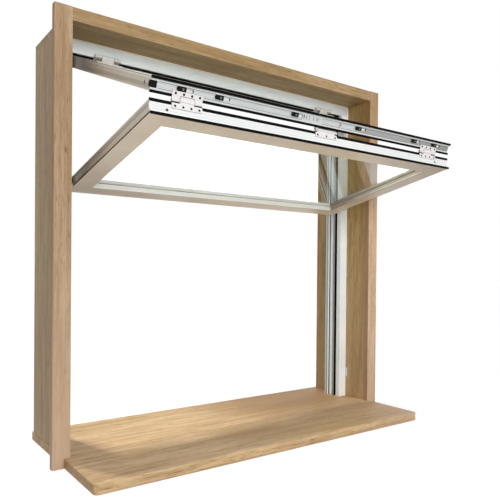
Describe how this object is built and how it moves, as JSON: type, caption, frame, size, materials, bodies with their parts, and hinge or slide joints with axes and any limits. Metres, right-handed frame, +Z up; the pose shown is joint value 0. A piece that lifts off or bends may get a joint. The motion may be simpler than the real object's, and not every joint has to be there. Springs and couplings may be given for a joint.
{
  "type": "fold-up concession window",
  "caption": "Serving window with an oak box frame and counter board, and glazed aluminium sashes that fold up and outward, shown partly open.",
  "frame": {"origin": "middle of the casing's front plane, at the underside of the counter board", "axes": "+X along the window's width, -Y out to the customer, +Z up"},
  "size_m": [1.2, 0.6663, 1.176],
  "materials": {
    "oak": "satin oiled oak",
    "frame": "satin white",
    "sash": "satin",
    "seal": "matt",
    "black_fittings": "satin",
    "lock_steel": "brushed",
    "hinge_steel": "polished",
    "glass": "clear"
  },
  "bodies": {
    "root": {"oak_counter": "oak", "oak_lining_left": "oak", "oak_lining_right": "oak", "oak_lining_head": "oak", "casing_left": "oak", "casing_right": "oak", "casing_head": "oak", "frame_jamb_left": "frame", "frame_jamb_right": "frame", "frame_head": "frame", "lower_sash_edge_strip": "frame", "lower_sash_edge_caps": "frame", "upper_sash_left_stile": "sash", "upper_sash_right_stile": "sash", "upper_sash_beads": "sash", "lower_sash_left_stile": "sash", "lower_sash_right_stile": "sash", "lower_sash_beads": "sash", "upper_sash_top_rail": "sash", "upper_sash_meeting_rail": "sash", "lower_sash_meeting_rail": "sash", "lower_sash_bottom_rail": "sash", "frame_seals": "seal", "head_sealant": "seal", "upper_sash_seals": "seal", "lower_sash_seals": "seal", "lock_cam_blocks": "black_fittings", "upper_sash_edge_caps": "black_fittings", "lock_strip": "lock_steel", "lock_rollers": "lock_steel", "lock_gearbox": "lock_steel", "guide_pins": "lock_steel", "latch_keep": "lock_steel", "fold_hinge_upper_leaves": "hinge_steel", "fold_hinge_lower_leaves": "hinge_steel", "fold_hinge_pins": "hinge_steel", "head_hinge_frame_leaves": "hinge_steel", "head_hinge_sash_leaves": "hinge_steel", "head_hinge_pins": "hinge_steel", "upper_sash_glass": "glass", "lower_sash_glass": "glass"}
  },
  "joints": []
}
